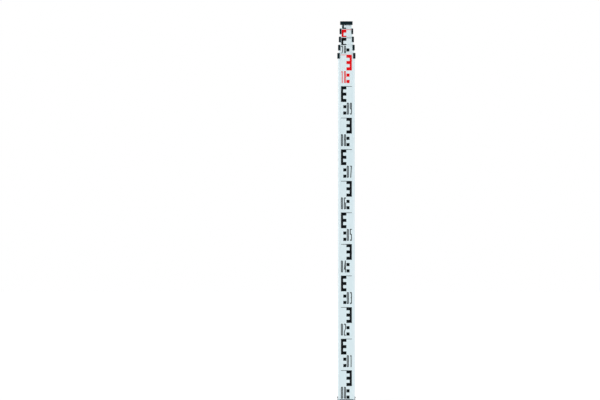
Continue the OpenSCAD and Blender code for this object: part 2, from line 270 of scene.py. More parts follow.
def makeSpecks():
    # sparse small marks: dust on a coat, scuffs on a sole
    group, source, sink = newGroup("specks", {"Scale": 300.0, "Along": 300.0, "Rarity": 0.7}, ["Mask"])
    where = stretchedCoordinates(group, source.outputs["Scale"], source.outputs["Along"])
    noise = place(group, "ShaderNodeTexNoise")
    noise.inputs["Scale"].default_value = 1.0
    noise.inputs["Detail"].default_value = 6.0
    link(group, where, noise.inputs["Vector"])
    above = combine(group, "SUBTRACT", noise.outputs["Fac"], source.outputs["Rarity"])
    link(group, contrast(group, above, 0.0, 0.08), sink.inputs["Mask"])
    return group


effects = {
    "mottle": makeMottle(),
    "lines": makeDrawnLines(),
    "grain": makeGrain(),
    "edgeWearAndHighlight": makeEdgeRub(),
    "specks": makeSpecks(),
}
print("shared effects built")


def newFinish(name):
    material = bpy.data.materials.new(name)
    material.use_nodes = True
    tree = material.node_tree
    return material, tree, tree.nodes["Principled BSDF"]


def bumped(tree, shader, height, distance, strength):
    bump = place(tree, "ShaderNodeBump")
    bump.inputs["Distance"].default_value = distance
    bump.inputs["Strength"].default_value = strength
    link(tree, height, bump.inputs["Height"])
    link(tree, bump.outputs["Normal"], shader.inputs["Normal"])


coat = {
    "dustRarity": 0.72,
    "peelCells": 0.2,
    "peelDepth": 0.00004,
    "peelStrength": 0.25,
}


def coatFinish(name, look):
    # powder coat under the print: even, with a faint orange peel and a little dust
    material, tree, shader = newFinish(name)
    mottle = useGroup(tree, effects["mottle"], Scale=look["mottle"], Along=look["mottleAlong"])
    specks = useGroup(tree, effects["specks"], Scale=look["specks"], Along=look["specks"],
                      Rarity=coat["dustRarity"])
    clean = blendColours(tree, mottle.outputs["Shade"], look["shade"], look["colour"])
    dusty = blendColours(tree, specks.outputs["Mask"], clean, look["dust"])
    link(tree, dusty, shader.inputs["Base Color"])
    gloss = contrast(tree, mottle.outputs["Shade"], 0, 1, *look["roughness"])
    link(tree, gloss, shader.inputs["Roughness"])
    shader.inputs["Specular IOR Level"].default_value = look["specular"]
    grain = useGroup(tree, effects["grain"], Scale=look["peel"], Cells=coat["peelCells"])
    bumped(tree, shader, grain.outputs["Height"], coat["peelDepth"], coat["peelStrength"])
    return material


metal = {
    "mottle": 30.0,
    "mottleAlong": 9.0,
    "wearAndHighlightBreakup": 500.0,
    "lineStrength": 0.5,
}


def metalFinish(name, look):
    # bare or anodised metal with die lines along the staff
    material, tree, shader = newFinish(name)
    lines = useGroup(tree, effects["lines"], Across=look["across"], Along=look["along"])
    mottle = useGroup(tree, effects["mottle"], Scale=metal["mottle"], Along=metal["mottleAlong"])
    tone = blendColours(tree, lines.outputs["Shade"], look["shade"], look["colour"])
    drawn = blendColours(tree, mottle.outputs["Shade"], tone, look["colour"])
    if look["wearAndHighlight"]:
        wearAndHighlight = useGroup(tree, effects["edgeWearAndHighlight"], Radius=look["wearAndHighlightRadius"], Breakup=metal["wearAndHighlightBreakup"])
        edges = combine(tree, "MULTIPLY", wearAndHighlight.outputs["Mask"], look["wearAndHighlight"])
        drawn = blendColours(tree, edges, drawn, look["wornAndHighlit"])
    link(tree, drawn, shader.inputs["Base Color"])
    gloss = contrast(tree, lines.outputs["Height"], 0.3, 0.7, *look["roughness"])
    link(tree, gloss, shader.inputs["Roughness"])
    shader.inputs["Metallic"].default_value = look["metallic"]
    bumped(tree, shader, lines.outputs["Height"], look["lineDepth"], metal["lineStrength"])
    return material


moulded = {
    "mottle": 60.0,
    "wearAndHighlightBreakup": 700.0,
    "grainCells": 0.6,
    "grainStrength": 0.5,
    "ior": 1.5,
}


def mouldedFinish(name, look):
    # moulded plastic or rubber: fine grain, lighter along the edges, partly rubbed wear and partly a
    # painted highlight
    material, tree, shader = newFinish(name)
    mottle = useGroup(tree, effects["mottle"], Scale=moulded["mottle"], Along=moulded["mottle"])
    body = blendColours(tree, mottle.outputs["Shade"], look["shade"], look["colour"])
    wearAndHighlight = useGroup(tree, effects["edgeWearAndHighlight"], Radius=look["wearAndHighlightRadius"], Breakup=moulded["wearAndHighlightBreakup"])
    edges = combine(tree, "MULTIPLY", wearAndHighlight.outputs["Mask"], look["wearAndHighlight"])
    link(tree, blendColours(tree, edges, body, look["wornAndHighlit"]), shader.inputs["Base Color"])
    grain = useGroup(tree, effects["grain"], Scale=look["grain"], Cells=moulded["grainCells"])
    gloss = contrast(tree, mottle.outputs["Shade"], 0, 1, *look["roughness"])
    link(tree, gloss, shader.inputs["Roughness"])
    shader.inputs["Specular IOR Level"].default_value = look["specular"]
    shader.inputs["Specular Tint"].default_value = (*look["tint"], 1)
    shader.inputs["IOR"].default_value = look.get("ior", moulded["ior"])
    bumped(tree, shader, grain.outputs["Height"], look["grainDepth"], moulded["grainStrength"])
    return material


inkLayer = {
    "patches": 250.0,
    "patchesAlong": 180.0,
    "roughness": (0.42, 0.52),
    "specular": 0.02,
    "grain": 2500.0,
    "grainCells": 0.1,
    "grainDepth": 0.00002,
    "grainStrength": 0.2,
}


def inkFinish(name, look):
    # screen-printed ink: nearly even, thinner in small patches
    material, tree, shader = newFinish(name)
    mottle = useGroup(tree, effects["mottle"], Scale=inkLayer["patches"], Along=inkLayer["patchesAlong"])
    tone = blendColours(tree, mottle.outputs["Shade"], look["colour"], look["thin"])
    link(tree, tone, shader.inputs["Base Color"])
    gloss = contrast(tree, mottle.outputs["Shade"], 0, 1, *inkLayer["roughness"])
    link(tree, gloss, shader.inputs["Roughness"])
    shader.inputs["Specular IOR Level"].default_value = inkLayer["specular"]
    grain = useGroup(tree, effects["grain"], Scale=inkLayer["grain"], Cells=inkLayer["grainCells"])
    bumped(tree, shader, grain.outputs["Height"], inkLayer["grainDepth"], inkLayer["grainStrength"])
    return material


turned = {
    "rings": 9000.0,
    "roughness": (0.16, 0.34),
    "ringDepth": 0.00003,
    "ringStrength": 0.5,
}


def turnedFinish(name, look):
    # turned steel: rings round an axis along Y through the piece's own middle
    material, tree, shader = newFinish(name)
    coordinates = place(tree, "ShaderNodeTexCoord")
    middle = place(tree, "ShaderNodeVectorMath", operation="SUBTRACT")
    middle.inputs[1].default_value = (0, 0, look["axisHeight"])
    flat = place(tree, "ShaderNodeVectorMath", operation="MULTIPLY")
    flat.inputs[1].default_value = (1, 0, 1)
    away = place(tree, "ShaderNodeVectorMath", operation="LENGTH")
    link(tree, coordinates.outputs["Object"], middle.inputs[0])
    link(tree, middle.outputs["Vector"], flat.inputs[0])
    link(tree, flat.outputs["Vector"], away.inputs[0])
    rings = place(tree, "ShaderNodeTexNoise", noise_dimensions="1D")
    rings.inputs["Scale"].default_value = turned["rings"]
    rings.inputs["Detail"].default_value = 2.0
    link(tree, away.outputs["Value"], rings.inputs["W"])
    shade = contrast(tree, rings.outputs["Fac"], 0.35, 0.65)
    link(tree, blendColours(tree, shade, look["shade"], look["colour"]), shader.inputs["Base Color"])
    gloss = contrast(tree, rings.outputs["Fac"], 0.3, 0.7, *turned["roughness"])
    link(tree, gloss, shader.inputs["Roughness"])
    shader.inputs["Metallic"].default_value = 1.0
    bumped(tree, shader, rings.outputs["Fac"], turned["ringDepth"], turned["ringStrength"])
    return material


# colours are linear light

# black plastic; its lighter edge colour is partly rubbed wear and partly a painted highlight
blackMoulding = {
    "colour": (0.003, 0.008, 0.0105), "shade": (0.002, 0.0055, 0.0075), "wornAndHighlit": (0.018, 0.026, 0.031),
    "grain": 3200.0, "grainDepth": 0.00006, "roughness": (0.3, 0.4), "specular": 0.14,
    "tint": (0.45, 0.85, 1.0), "wearAndHighlight": 0.5, "wearAndHighlightRadius": 0.0005,
}

finishes = {
    "frontCoat": coatFinish("front coat", {
        "colour": (0.77, 0.885, 0.915), "shade": (0.67, 0.81, 0.86), "dust": (0.61, 0.71, 0.74),
        "mottle": 9.0, "mottleAlong": 1.8, "specks": 900.0, "roughness": (0.36, 0.46),
        "specular": 0.3, "peel": 1400.0}),
    "rearCoat": coatFinish("rear coat", {
        "colour": (0.62, 0.745, 0.815), "shade": (0.54, 0.67, 0.745), "dust": (0.5, 0.58, 0.62),
        "mottle": 9.0, "mottleAlong": 1.8, "specks": 900.0, "roughness": (0.38, 0.5),
        "specular": 0.3, "peel": 1400.0}),
    # a lighter copy of the extrusion's metal for the front of the rails and their corners: painted light
    "frontRailPaintedLight": metalFinish("front rail painted light", {
        "colour": (0.68, 0.785, 0.82), "shade": (0.61, 0.72, 0.755), "wornAndHighlit": (0.8, 0.86, 0.885),
        "across": 2600.0, "along": 5.0, "roughness": (0.3, 0.44), "metallic": 0.6,
        "lineDepth": 0.00002, "wearAndHighlight": 0.5, "wearAndHighlightRadius": 0.0004}),
    # the extrusion's metal, darker than its front rails: its tone is partly the metal's own and partly
    # painted shade
    "anodised": metalFinish("anodised aluminium", {
        "colour": (0.455, 0.545, 0.615), "shade": (0.35, 0.43, 0.50), "wornAndHighlit": (0.72, 0.77, 0.81),
        "across": 2200.0, "along": 4.0, "roughness": (0.26, 0.42), "metallic": 1.0,
        "lineDepth": 0.00003, "wearAndHighlight": 0.6, "wearAndHighlightRadius": 0.0004}),
    "bareEdge": metalFinish("cut aluminium", {
        "colour": (0.5, 0.53, 0.55), "shade": (0.3, 0.33, 0.35),
        "across": 4000.0, "along": 4000.0, "roughness": (0.3, 0.5), "metallic": 1.0,
        "lineDepth": 0.00002, "wearAndHighlight": 0.0}),
    # near-black on the groove's faces: painted shade in the groove
    "groove": coatFinish("groove coat", {
        "colour": (0.032, 0.04, 0.05), "shade": (0.024, 0.03, 0.038), "dust": (0.1, 0.1, 0.1),
        "mottle": 40.0, "mottleAlong": 8.0, "specks": 700.0, "roughness": (0.45, 0.6),
        "specular": 0.2, "peel": 1400.0}),
    "blackPlastic": mouldedFinish("black moulded plastic", blackMoulding),
    # the same black plastic, made more reflective and tinted blue for the slanted rear flanks: a painted
    # sheen
    "paintedSheenFlank": mouldedFinish("painted sheen flank", {
        **blackMoulding, "grainDepth": 0.00002, "roughness": (0.38, 0.44), "specular": 1.0, "ior": 1.85,
        "tint": (0.6, 0.84, 1.0)}),
    "guidePlastic": mouldedFinish("guide plastic", {
        "colour": (0.035, 0.036, 0.04), "shade": (0.026, 0.027, 0.03), "wornAndHighlit": (0.09, 0.09, 0.09),
        "grain": 2500.0, "grainDepth": 0.00005, "roughness": (0.4, 0.55), "specular": 0.35,
        "tint": (1.0, 1.0, 1.0), "wearAndHighlight": 0.7, "wearAndHighlightRadius": 0.0006}),
    "rubber": mouldedFinish("buffer rubber", {
        "colour": (0.02, 0.019, 0.018), "shade": (0.014, 0.0135, 0.013), "wornAndHighlit": (0.05, 0.05, 0.05),
        "grain": 1800.0, "grainDepth": 0.00008, "roughness": (0.7, 0.85), "specular": 0.25,
        "tint": (1.0, 1.0, 1.0), "wearAndHighlight": 0.5, "wearAndHighlightRadius": 0.0008}),
    "darkScrew": metalFinish("blackened screw", {
        "colour": (0.05, 0.052, 0.055), "shade": (0.03, 0.031, 0.033), "wornAndHighlit": (0.35, 0.35, 0.36),
        "across": 5000.0, "along": 5000.0, "roughness": (0.3, 0.45), "metallic": 1.0,
        "lineDepth": 0.00001, "wearAndHighlight": 0.7, "wearAndHighlightRadius": 0.0002}),
    "brightSteel": metalFinish("zinc plated steel", {
        "colour": (0.58, 0.585, 0.59), "shade": (0.46, 0.465, 0.475), "wornAndHighlit": (0.7, 0.7, 0.7),
        "across": 1500.0, "along": 1500.0, "roughness": (0.24, 0.4), "metallic": 1.0,
        "lineDepth": 0.00001, "wearAndHighlight": 0.4, "wearAndHighlightRadius": 0.0003}),
    "springSteel": metalFinish("drawn spring steel", {
        "colour": (0.42, 0.42, 0.43), "shade": (0.3, 0.3, 0.31),
        "across": 5000.0, "along": 900.0, "roughness": (0.25, 0.42), "metallic": 1.0,
        "lineDepth": 0.00001, "wearAndHighlight": 0.0}),
    "sole": metalFinish("milled sole", {
        "colour": (0.55, 0.565, 0.575), "shade": (0.36, 0.375, 0.39), "wornAndHighlit": (0.75, 0.75, 0.75),
        "across": 900.0, "along": 4000.0, "roughness": (0.34, 0.55), "metallic": 1.0,
        "lineDepth": 0.00004, "wearAndHighlight": 0.8, "wearAndHighlightRadius": 0.0006}),
    "blackInk": inkFinish("black ink", {
        "colour": (0.003, 0.0045, 0.0055), "thin": (0.006, 0.0085, 0.01)}),
    "redInk": inkFinish("red ink", {
        "colour": (0.76, 0.003, 0.006), "thin": (0.79, 0.01, 0.014)}),
    "whiteInk": inkFinish("white ink", {
        "colour": (0.8, 0.86, 0.88), "thin": (0.7, 0.76, 0.79)}),
}
print("finishes built:", len(finishes))

# dressed copies of the rigid solids


def copiedForm(node):
    # the node's mesh with its doubled points merged and its flat faces made whole
    form = bmesh.new()
    form.from_mesh(frame["nodes"][node].data)
    bmesh.ops.remove_doubles(form, verts=form.verts, dist=1e-6)
    bmesh.ops.dissolve_limit(form, angle_limit=math.radians(0.5), verts=form.verts, edges=form.edges)
    form.normal_update()
    for face in form.faces:
        face.smooth = True
        face.material_index = 0
    return form


def dressed(node, name, form, materials, edge):
    # a piece of that form in the node's place, with softened edges
    mesh = bpy.data.meshes.new(name)
    form.to_mesh(mesh)
    form.free()
    for layer in ("custom_normal", "sharp_face", "sharp_edge"):
        if layer in mesh.attributes:
            mesh.attributes.remove(mesh.attributes[layer])
    for material in materials:
        mesh.materials.append(finishes[material])
    piece = bpy.data.objects.new(name, mesh)
    scene.collection.objects.link(piece)
    softened = piece.modifiers.new("softened edges", "BEVEL")
    softened.width = edge["width"] * mm
    softened.segments = edge["steps"]
    softened.limit_method = "ANGLE"
    softened.angle_limit = math.radians(edge["over"])
    evened = piece.modifiers.new("even shading", "WEIGHTED_NORMAL")
    evened.keep_sharp = True
    source = frame["nodes"][node]
    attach(piece, source["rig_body"])
    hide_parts(node)
    return piece


tubeLook = {
    "materials": ["anodised", "frontCoat", "rearCoat", "groove", "frontRailPaintedLight", "bareEdge"],
    "edge": {"width": 0.16, "steps": 2, "over": 25},
}


def facePart(k, face):
    # which of the tube's materials this face of its extrusion wears
    low, high = tubeBox[k]
    middle = face.calc_center_median() / mm
    near, facing = extrusion["nearFace"], extrusion["facing"]
    grooveInner = extrusion["rearPanelHalf"] - extrusion["grooveWidth"]
    if abs(face.normal.z) > facing:
        return "bareEdge"
    if abs(middle.y - panelFace["front"][k]) < near and face.normal.y < -facing:
        return "frontCoat"
    # the rails' front faces and front corners wear the rail metal painted light
    if middle.y - low.y < extrusion["cornerReach"] and face.normal.y < -extrusion["leaning"]:
        return "frontRailPaintedLight"
    acrossGroove = grooveInner - near < abs(middle.x) < extrusion["rearPanelHalf"] + near
    intoGroove = near / 2 < panelFace["rear"][k] - middle.y < 2 * extrusion["panelDepth"]
    # the groove's faces wear near-black painted shade
    if acrossGroove and intoGroove:
        return "groove"
    if abs(middle.y - panelFace["rear"][k]) < near and face.normal.y > facing:
        return "rearCoat"
    return "anodised"


def openRims(k, form):
    # a deburred chamfer round the outer edge of each rear hole
    bare = tubeLook["materials"].index("bareEdge")
    near = extrusion["nearFace"]
    for height, radius in rearHoles(k):
        rim = []
        for edge in form.edges:
            ends = [v.co / mm for v in edge.verts]
            outside = all(e.y > panelFace["rear"][k] - near for e in ends)
            onCircle = all(abs(math.hypot(e.x, e.z - height) - radius) < near for e in ends)
            if outside and onCircle:
                rim.append(edge)
        bmesh.ops.bevel(form, geom=rim, offset=holes["rim"] * mm, segments=1, profile=0.5,
                        affect="EDGES", material=bare, clamp_overlap=True)


def dressTube(k):
    form = copiedForm(f"tube_{k}")
    for face in form.faces:
        face.material_index = tubeLook["materials"].index(facePart(k, face))
    openRims(k, form)
    return dressed(f"tube_{k}", f"tube_{k}_finished", form, tubeLook["materials"], tubeLook["edge"])


for k in sections:
    dressTube(k)
print("tubes dressed")

# softened edges: width in millimetres, on edges that turn by more than so many degrees
mouldedEdge = {"width": 0.3, "steps": 3, "over": 30}
thinEdge = {"width": 0.12, "steps": 2, "over": 35}


def dressFitting(node, word, finish, edge):
    # a fitting in one finish, named for what was done to it
    dressed(node, f"{node}_{word}", copiedForm(node), [finish], edge)


collarLook = {
    "materials": ["blackPlastic", "paintedSheenFlank"],
    "leaning": 0.3,             # least share of a flank's normal to the side and to the rear
}


def dressCollar(node):
    # black plastic; the slanted rear flanks reflect more strongly and bluer than the plastic does, a
    # painted sheen
    form = copiedForm(node)
    for face in form.faces:
        if min(abs(face.normal.x), face.normal.y) > collarLook["leaning"]:
            face.material_index = collarLook["materials"].index("paintedSheenFlank")
    dressed(node, f"{node}_moulded", form, collarLook["materials"], mouldedEdge)


for k in sections[:-1]:
    dressCollar(f"collar_{k}")
    dressFitting(f"collar_screws_{k}", "blackened", "darkScrew", thinEdge)
dressCollar("top_cap")
dressFitting("cap_screws", "blackened", "darkScrew", thinEdge)
dressFitting("foot_shoe", "moulded", "blackPlastic", mouldedEdge)
dressFitting("foot_screws", "blackened", "darkScrew", thinEdge)
dressFitting("foot_buffer", "rubber", "rubber", mouldedEdge)
dressFitting("base_plate", "milled", "sole", mouldedEdge)
dressFitting("base_screws", "plated", "brightSteel", thinEdge)

for k in sections[1:]:
    finishes[f"turned{k}"] = turnedFinish(f"turned steel {k}", {
        "colour": (0.64, 0.645, 0.65), "shade": (0.5, 0.505, 0.515), "axisHeight": buttonHeight[k] * mm})
    dressFitting(f"lock_button_{k}", "turned", f"turned{k}", thinEdge)
    dressFitting(f"guide_plug_{k}", "moulded", "guidePlastic", mouldedEdge)
    dressFitting(f"plug_pins_{k}", "plated", "brightSteel", thinEdge)
print("fittings dressed")

coil = {
    "wire": 0.7,                # in millimetres
    "turns": 5,
    "closed": 0.9,              # turns at each end that lie flat
    "steps": 28,                # points to a turn
    "sides": 10,
}


def coilRise(turn, length):
    # height of the wire above its start, closed at both ends and open between them
    closedRise = coil["wire"] * coil["closed"]
    openTurns = coil["turns"] - 2 * coil["closed"]
    share = min(1, max(0, (turn - coil["closed"]) / openTurns))
    wound = min(turn, coil["closed"]) + max(0, turn - coil["turns"] + coil["closed"])
    return coil["wire"] * wound + (length - 2 * closedRise) * share


def windSpring(k):
    # from the floor of the plug's bore to the button's crown
    node = f"button_spring_{k}"
    low, high = boxInMillimetres(node)
    middle = (low + high) / 2
    thick = coil["wire"] / 2
    radius = (high.x - low.x) / 2 - thick
    length = high.y - low.y
    sides, count = coil["sides"], coil["turns"] * coil["steps"]
    points, faces = [], []
    for i in range(count + 1):
        turn = i / coil["steps"]
        angle = 2 * math.pi * turn
        along = low.y + thick + coilRise(turn, length - coil["wire"])
        for j in range(sides):
            around = 2 * math.pi * j / sides
            reach = radius + thick * math.cos(around)
            points.append((middle.x + reach * math.cos(angle), along + thick * math.sin(around),
                           middle.z + reach * math.sin(angle)))
    for i in range(count):
        for j in range(sides):
            here, nextSide = i * sides + j, i * sides + (j + 1) % sides
            faces.append((here, nextSide, nextSide + sides, here + sides))
    faces.append(tuple(reversed(range(sides))))
    faces.append(tuple(range(count * sides, (count + 1) * sides)))
    mesh = bpy.data.meshes.new(f"button_spring_{k}_wound")
    mesh.from_pydata([[v * mm for v in p] for p in points], [], faces)
    for face in mesh.polygons:
        face.use_smooth = len(face.vertices) == 4
    mesh.materials.append(finishes["springSteel"])
    spring = bpy.data.objects.new(mesh.name, mesh)
    scene.collection.objects.link(spring)
    source = frame["nodes"][node]
    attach(spring, source["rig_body"])
    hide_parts(node)
    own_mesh(spring)


for k in sections[1:]:
    windSpring(k)
print("springs wound")

# flat shapes for the print, as (points, faces) in millimetres

outline = {
    "nearest": 1e-4,            # points closer than this are one
    "mitre": 0.3,               # least cosine that a bend's mitre is drawn out for
    "weld": 1e-5,
}


def arc(centre, radius, start, end, steps):
    angles = [math.radians(start + (end - start) * i / steps) for i in range(steps + 1)]
    return [(centre[0] + radius * math.cos(a), centre[1] + radius * math.sin(a)) for a in angles]


def ribbon(path, stroke, closed=False):
    # quadrilaterals of that width along the path, mitred where it bends
    nearest = outline["nearest"]
    points = [Vector(p) for i, p in enumerate(path) if i == 0 or math.dist(p, path[i - 1]) > nearest]
    if closed and (points[0] - points[-1]).length < nearest:
        points.pop()
    count = len(points)
    edges = []
    for i, here in enumerate(points):
        ways = []
        if closed or i > 0:
            ways.append((here - points[i - 1]).normalized())
        if closed or i < count - 1:
            ways.append((points[(i + 1) % count] - here).normalized())
        way = sum(ways, Vector((0, 0))).normalized()
        side = Vector((-way.y, way.x))
        edges.append(side * stroke / 2 / max(outline["mitre"], way.dot(ways[0])))
    pieces = []
    for i in range(count if closed else count - 1):
        then = (i + 1) % count
        pieces.append([points[i] - edges[i], points[then] - edges[then],
                       points[then] + edges[then], points[i] + edges[i]])
    return pieces


def merged(polygons):
    # one flat shape that covers all the polygons
    corners, faces = [], []
    for polygon in polygons:
        faces.append(list(range(len(corners), len(corners) + len(polygon))))
        corners += [Vector(p) for p in polygon]
    points, _, triangles, _, _, owners = delaunay_2d_cdt(corners, [], faces, 1, outline["weld"])
    return points, [list(t) for t, owner in zip(triangles, owners) if owner]


def bar(left, low, right, high):
    return [(left, low), (right, low), (right, high), (left, high)]


# proportions of the figures, a condensed grotesque
figureForm = {
    "waist": 0.53,              # where 3, 5, 6, 8 and 9 divide, as a share of the height
    "roundest": 0.49,           # most of the part above the waist that a corner's radius takes
    "hook": 0.7,                # straight end of a stroke past its corner, in radii
    "hookMost": 0.25,           # and at most this share of what lies below the waist
    "slant": 1.1,               # a leaning stroke measured level, in strokes
    "oneStem": 0.12,            # right of the middle, in widths
    "oneReach": 0.3,            # of its flag, in widths
    "oneFall": 0.34,
    "oneRoot": 1.1,             # of its flag, in strokes below the top
    "twoNeck": 0.62,            # where 2 begins to lean, and where it stands upright again
    "twoKnee": 0.3,
    "threeBar": 0.35,           # ends of the bar at its waist, in radii left of the middle and of the right
    "threeEnd": 0.8,
    "fourStem": 0.1,            # in from the right, in widths
    "fourBeam": 0.24,           # above the foot, in heights
    "fiveMouth": 1.5,           # least opening, in strokes
    "sevenFoot": 0.2,           # in from the left, in widths
}


def digitShape(digit, width, height, stroke, steps):
    # the figure in a box from (0, 0) to (width, height)
    form = figureForm
    half = stroke / 2
    left, right, low, high = half, width - half, half, height - half
    middle = width / 2
    waist = low + (high - low) * form["waist"]
    radius = min((right - left) / 2, (high - waist) * form["roundest"])
    top, bottom = high - radius, low + radius
    hook = min(radius * form["hook"], (waist - bottom) * form["hookMost"])
    slant = stroke * form["slant"]

    def leftArc(y, start, end):
        return arc((left + radius, y), radius, start, end, steps)

    def rightArc(y, start, end):
        return arc((right - radius, y), radius, start, end, steps)

    def over(y):
        # from the left side over the top to the right side, with the round corners centred at height y
        return leftArc(y, 180, 90) + rightArc(y, 90, 0)

    def under(y):
        return rightArc(y, 0, -90) + leftArc(y, -90, -180)

    if digit == 0:
        return merged(ribbon(over(top) + under(bottom), stroke, closed=True))
    if digit == 1:
        stem = middle + width * form["oneStem"]
        tip = stem - half - form["oneReach"] * width
        fall = height - form["oneFall"] * width
        flag = [(stem + half, height), (stem - half, height), (tip, fall), (tip, fall - stroke),
                (stem - half, height - form["oneRoot"] * stroke)]
        return merged([bar(stem - half, 0, stem + half, height), flag])
    if digit == 2:
        neck = low + (high - low) * form["twoNeck"]
        knee = low + (high - low) * form["twoKnee"]
        path = [(left, top - hook)] + over(top) + [(right, neck), (left, knee), (left, 0)]
        return merged(ribbon(path, stroke) + [bar(0, 0, width, stroke)])
    if digit == 3:
        upper = [(left, top - hook)] + over(top) + rightArc(waist + radius, 0, -90)
        lower = rightArc(waist - radius, 90, 0) + under(bottom) + [(left, bottom + hook)]
        waistBar = bar(middle - radius * form["threeBar"], waist - half,
                       right - radius * form["threeEnd"], waist + half)
        return merged(ribbon(upper, stroke) + ribbon(lower, stroke) + [waistBar])
    if digit == 4:
        stem = right - width * form["fourStem"]
        beam = height * form["fourBeam"]
        leaning = [(0, beam), (slant, beam), (stem + half, height), (stem + half - slant, height)]
        upright = bar(stem - half, 0, stem + half, height)
        return merged([upright, bar(0, beam, width, beam + stroke), leaning])
    if digit == 5:
        crown = waist + half
        turn = min(radius, stroke)
        mouth = crown - turn - form["fiveMouth"] * stroke
        hookEnd = max(bottom, min(bottom + hook, mouth))
        bowl = arc((left + turn, crown - turn), turn, 180, 90, steps) + rightArc(crown - radius, 90, 0)
        bowl += under(bottom) + [(left, hookEnd)]
        upright = bar(0, crown - turn, stroke, height)
        return merged(ribbon(bowl, stroke) + [upright, bar(0, height - stroke, width, height)])
    if digit in (6, 9):
        ring = over(waist - radius) + under(bottom)
        stem = [(left, bottom)] + over(top) + [(right, top - hook)]
        parts = ribbon(ring, stroke, closed=True) + ribbon(stem, stroke)
        if digit == 9:
            parts = [[(width - x, height - y) for x, y in part] for part in parts]
        return merged(parts)
    if digit == 7:
        foot = width * form["sevenFoot"]
        leaning = [(foot, 0), (foot + slant, 0), (width, height), (width - slant, height)]
        return merged([bar(0, height - stroke, width, height), leaning])
    upperRing = over(top) + under(waist + radius)
    lowerRing = over(waist - radius) + under(bottom)
    return merged(ribbon(upperRing, stroke, closed=True) + ribbon(lowerRing, stroke, closed=True))


def figures(width, height, stroke, steps):
    return [digitShape(d, width, height, stroke, steps) for d in range(10)]


# the print is laid down as thin closed solids: points are (across, up, out of the face)
ink = {
    "under": -0.02,             # the first layer begins just inside the panel
    "over": 0.05,
    "into": 0.04,               # the second layer begins just inside the first
    "second": 0.09,
    "least": 0.01,              # a cut-off bar smaller than this isn't laid
}


def newSheet():
    return {"points": [], "faces": []}


def lay(sheet, shape, across, up, low=ink["under"], high=ink["over"]):
    points, faces = shape
    first, count = len(sheet["points"]), len(points)
    for depth in (low, high):
        sheet["points"] += [(across + p[0], up + p[1], depth) for p in points]
    rims = set()
    for face in faces:
        sheet["faces"].append([first + i for i in reversed(face)])
        sheet["faces"].append([first + count + i for i in face])
        rims |= set(zip(face, face[1:] + face[:1]))
    for a, b in sorted(rims):
        if (b, a) not in rims:
            sheet["faces"].append([first + a, first + b, first + count + b, first + count + a])


def layBar(sheet, left, low, right, high):
    if min(high - low, right - left) > ink["least"]:
        lay(sheet, (bar(left, low, right, high), [[0, 1, 2, 3]]), 0, 0)


def printed(sheet, name, k, side, finish):
    # the sheet becomes a piece on the front or rear panel of tube k
    if not sheet["faces"]:
        return
    face = panelFace[side][k]
    way = 1 if side == "front" else -1
    places = [(way * u * mm, (face - way * w) * mm, v * mm) for u, v, w in sheet["points"]]
    mesh = bpy.data.meshes.new(name)
    mesh.from_pydata(places, [], sheet["faces"])
    mesh.materials.append(finishes[finish])
    piece = bpy.data.objects.new(name, mesh)
    scene.collection.objects.link(piece)
    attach(piece, f"section_{k}")


frontPrint = {
    "half": {1: 17.3, 2: 16.5, 3: 16.0, 4: 14.9, 5: 13.3},      # half width of the printed field
    "spine": 7.0,               # upright of an E on section 1
    "squareIn": 0.2,            # a square's distance from the centre line
    "squareWidth": 9.8,
    "digitIn": 1.3,             # a figure's distance from the centre line
    "digitWidth": 6.4,
    "digitPitch": 9.6,
    "digitHeight": 38.0,
    "digitRise": 10.0,          # foot of the figures above the lower line of their decimetre
    "stroke": 2.65,
    "line": 1.6,                # thin line that closes a decimetre at its top
    "decimetre": 100,
    "limbs": (50, 70, 90),      # lower edges of an E's limbs and of the squares, in their decimetre
    "squares": (10, 30),
    "thick": 10,                # of limbs and squares
    "endMargin": 0.3,           # bare metal at a tube's ends
    "steps": 6,                 # to a figure's quarter circle
}


def layFrontBlock(sheet, k, block, figureSet, low, high):
    # one decimetre: the E and two squares on one side, its number on the other
    share = frontPrint["half"][k] / frontPrint["half"][1]
    half = frontPrint["half"][k]
    decimetre, thick = frontPrint["decimetre"], frontPrint["thick"]
    foot = block * decimetre - raised[k]
    toward = -1 if block % 2 else 1         # odd decimetres have their E on the left

    def field(near, far, bottom, top):
        ends = sorted((toward * near, toward * far))
        return ends[0], max(low, foot + bottom), ends[1], min(high, foot + top)

    limbs = [field(half - frontPrint["spine"] * share, half, frontPrint["limbs"][0], decimetre)]
    limbs += [field(0, half, rise, rise + thick) for rise in frontPrint["limbs"]]
    limbs = [bar(*limb) for limb in limbs if limb[3] - limb[1] > ink["least"]]
    if limbs:
        lay(sheet, merged(limbs), 0, 0)
    squareIn = frontPrint["squareIn"] * share
    squareOut = squareIn + frontPrint["squareWidth"] * share
    for rise in frontPrint["squares"]:
        layBar(sheet, *field(squareIn, squareOut, rise, rise + thick))
    layBar(sheet, *field(0, -half, decimetre - frontPrint["line"], decimetre))
    rise = foot + frontPrint["digitRise"]
    if rise > low and rise + frontPrint["digitHeight"] < high:
        for i, digit in enumerate((block // 10, block % 10)):
            inner = frontPrint["digitIn"] + frontPrint["digitPitch"] * i
            if toward > 0:
                # left of the centre line, the tens stand outermost
                outer = frontPrint["digitIn"] + frontPrint["digitPitch"] * (1 - i)
                inner = -outer - frontPrint["digitWidth"]
            lay(sheet, figureSet[digit], inner * share, rise)


def printFront(k):
    low, high = tubeBox[k]
    margin, decimetre = frontPrint["endMargin"], frontPrint["decimetre"]
    share = frontPrint["half"][k] / frontPrint["half"][1]
    figureSet = figures(frontPrint["digitWidth"] * share, frontPrint["digitHeight"],
                        frontPrint["stroke"] * share, frontPrint["steps"])
    black, red = newSheet(), newSheet()
    first, last = (int((z + raised[k]) // decimetre) for z in (low.z, high.z))
    for block in range(first, last + 1):
        sheet = red if block // 10 % 2 else black       # every second metre is red
        layFrontBlock(sheet, k, block, figureSet, low.z + margin, high.z - margin)
    printed(black, f"front_print_black_{k}", k, "front", "blackInk")
    printed(red, f"front_print_red_{k}", k, "front", "redInk")


